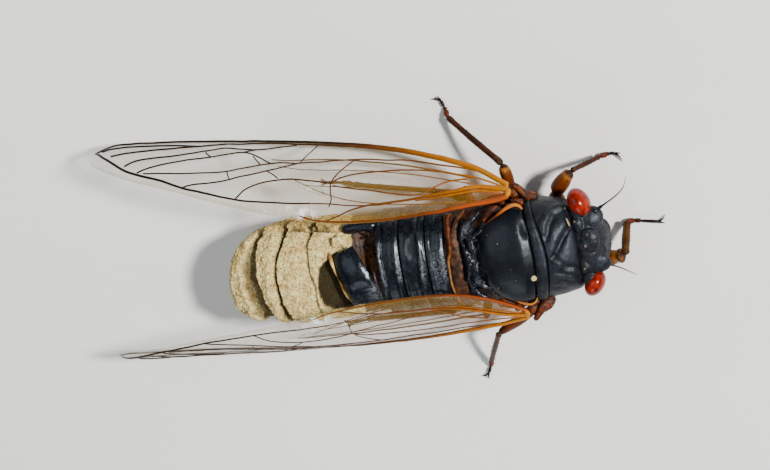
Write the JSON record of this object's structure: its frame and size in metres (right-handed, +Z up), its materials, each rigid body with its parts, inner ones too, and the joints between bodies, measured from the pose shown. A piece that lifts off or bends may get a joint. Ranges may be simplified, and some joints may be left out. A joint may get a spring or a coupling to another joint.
{
  "type": "periodical cicada",
  "caption": "Life-size still model of a periodical cicada with folded orange-veined wings, red eyes and a chalky fungus plug at its rear.",
  "frame": {"origin": "on the floor, below the middle of the insect's whole outline, at the soles' level", "axes": "+X towards the head, +Y to the insect's left, +Z up"},
  "size_m": [0.0492, 0.0248, 0.0113],
  "materials": {
    "black_cuticle": "satin to glossy blue-black insect cuticle",
    "red_eye": "glossy red compound eye",
    "brown_cuticle": "satin dark brown and orange cuticle",
    "orange_leg": "satin orange cuticle",
    "dark_leg": "satin red-brown cuticle",
    "amber_wing": "clear amber membrane with orange veins",
    "cream_plug": "dry, chalky and crumbly"
  },
  "bodies": {
    "root": {"abdomen_segment_3": "black_cuticle", "abdomen_segment_4": "black_cuticle", "abdomen_segment_5": "black_cuticle", "antenna_left": "black_cuticle", "antenna_right": "black_cuticle", "head": "black_cuticle", "loose_tergite": "black_cuticle", "mesonotum": "black_cuticle", "pronotal_collar": "black_cuticle", "pronotum": "black_cuticle", "scutellum": "black_cuticle", "eye_left": "red_eye", "eye_right": "red_eye", "abdomen_hollow": "brown_cuticle", "metanotum": "brown_cuticle", "prothorax_underside": "brown_cuticle", "rostrum": "brown_cuticle", "thorax_underside": "brown_cuticle", "leg_front_left_femur": "orange_leg", "leg_front_right_femur": "orange_leg", "leg_hind_left_femur": "orange_leg", "leg_hind_right_femur": "orange_leg", "leg_middle_left_femur": "orange_leg", "leg_middle_right_femur": "orange_leg", "leg_front_left_tarsus": "dark_leg", "leg_front_left_tibia": "dark_leg", "leg_front_right_tarsus": "dark_leg", "leg_front_right_tibia": "dark_leg", "leg_hind_left_tarsus": "dark_leg", "leg_hind_left_tibia": "dark_leg", "leg_hind_right_tarsus": "dark_leg", "leg_hind_right_tibia": "dark_leg", "leg_middle_left_tarsus": "dark_leg", "leg_middle_left_tibia": "dark_leg", "leg_middle_right_tarsus": "dark_leg", "leg_middle_right_tibia": "dark_leg", "forewing_left": "amber_wing", "forewing_right": "amber_wing", "hindwing_left": "amber_wing", "hindwing_right": "amber_wing", "spore_plug": "cream_plug"}
  },
  "joints": []
}
